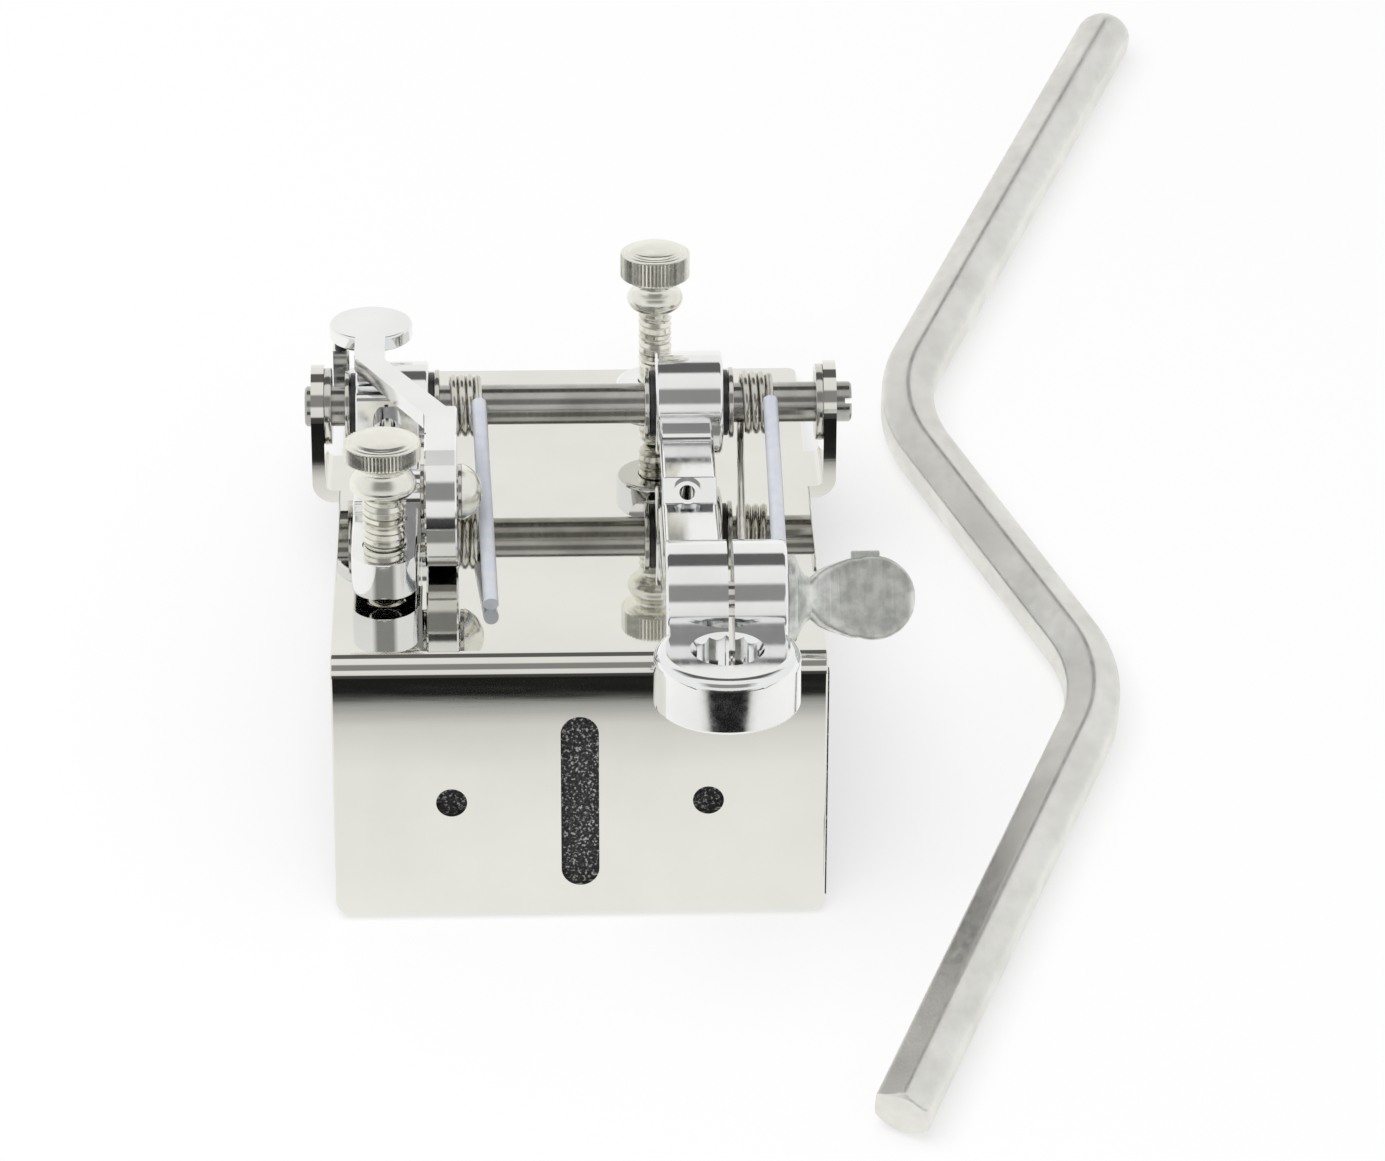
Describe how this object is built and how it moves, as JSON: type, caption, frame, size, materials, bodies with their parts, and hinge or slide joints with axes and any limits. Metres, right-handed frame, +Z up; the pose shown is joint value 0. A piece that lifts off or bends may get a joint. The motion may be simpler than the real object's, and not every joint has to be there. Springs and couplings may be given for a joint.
{
  "type": "guitar string bender",
  "caption": "Surface-mounted guitar string bender: nickel angle bracket, cross shaft, two sprung levers, tuning toggle, thumbscrews and a loose cranked hip bar",
  "frame": {"origin": "midway between the two screw holes of the flange, on its outer face, with the bracket standing on the foot of its flange and the rear edge of its plate", "axes": "+Z up from the table, +Y from the flange to the back along the plate's run, +X to the clamp screw's side, along the shaft"},
  "size_m": [0.1324, 0.224, 0.0553],
  "materials": {
    "nickel_plate": "mirror nickel plate",
    "polished_aluminium": "polished with fine machining marks",
    "bright_steel": "bright turned steel",
    "black_bush": "black acetal",
    "grey_felt": "dark speckled felt",
    "clear_sleeve": "translucent soft tube",
    "satin_bar": "satin plated drawn bar"
  },
  "bodies": {
    "root": {"bracket": "nickel_plate", "flange_felt": "grey_felt", "plate_felt": "grey_felt", "shaft": "bright_steel", "ear_washer_left": "bright_steel", "ear_washer_right": "bright_steel", "left_lever_washer_one": "bright_steel", "left_lever_washer_two": "bright_steel", "right_lever_washer_one": "bright_steel", "right_lever_washer_two": "bright_steel", "left_spring": "bright_steel", "right_spring": "bright_steel", "left_spring_sleeve": "clear_sleeve", "right_spring_sleeve": "clear_sleeve"},
    "left_lever_body": {"left_lever": "polished_aluminium", "left_lever_outer_bush": "black_bush", "left_lever_inner_bush": "black_bush", "toggle_screw": "bright_steel", "toggle_friction_washer": "black_bush", "toggle_screw_washer": "bright_steel", "toggle_rest_screw": "black_bush"},
    "toggle_body": {"toggle_lever": "polished_aluminium"},
    "front_screw_body": {"front_thumbscrew": "bright_steel"},
    "right_lever_body": {"right_lever": "polished_aluminium", "right_lever_inner_bush": "black_bush", "right_lever_outer_bush": "black_bush"},
    "rear_screw_body": {"rear_thumbscrew": "bright_steel"},
    "clamp_screw_body": {"clamp_paddle": "polished_aluminium", "clamp_stud": "bright_steel"},
    "hip_bar_body": {"hip_bar": "satin_bar"}
  },
  "joints": [
    {"name": "toggle_hinge", "type": "hinge", "parent": "left_lever_body", "child": "toggle_body", "pos_m": [-0.0194, 0.04106, 0.0206], "axis": [1, 0, 0], "range_deg": [0, 45]},
    {"name": "left_lever_hinge", "type": "hinge", "parent": "root", "child": "left_lever_body", "pos_m": [0, 0.07017, 0.00829], "axis": [1, 0, 0], "range_deg": [0, 1.5], "deforming": ["left_spring"]},
    {"name": "front_screw_travel", "type": "slide", "parent": "left_lever_body", "child": "front_screw_body", "axis": [0, 0.3706, 0.9288], "range_m": [0, 0.003]},
    {"name": "right_lever_hinge", "type": "hinge", "parent": "root", "child": "right_lever_body", "pos_m": [0, 0.07017, 0.00829], "axis": [1, 0, 0], "range_deg": [0, 3], "stiffness_Nm_per_rad": 0.06, "springref_deg": -34.38, "deforming": ["right_spring"]},
    {"name": "rear_screw_travel", "type": "slide", "parent": "right_lever_body", "child": "rear_screw_body", "axis": [0, 0.3706, 0.9288], "range_m": [0, 0.004]},
    {"name": "clamp_screw_turn", "type": "hinge", "parent": "right_lever_body", "child": "clamp_screw_body", "pos_m": [0.029, 0.01177, 0.02949], "axis": [1, 0, 0], "range_deg": [0, 360]},
    {"name": "hip_bar_lift", "type": "slide", "parent": "root", "child": "hip_bar_body", "axis": [0, 0, 1], "range_m": [0, 0.05]}
  ],
  "couplings": [
    {"joint": "left_lever_hinge", "follows": "toggle_hinge", "ratio": 0.033333}
  ]
}
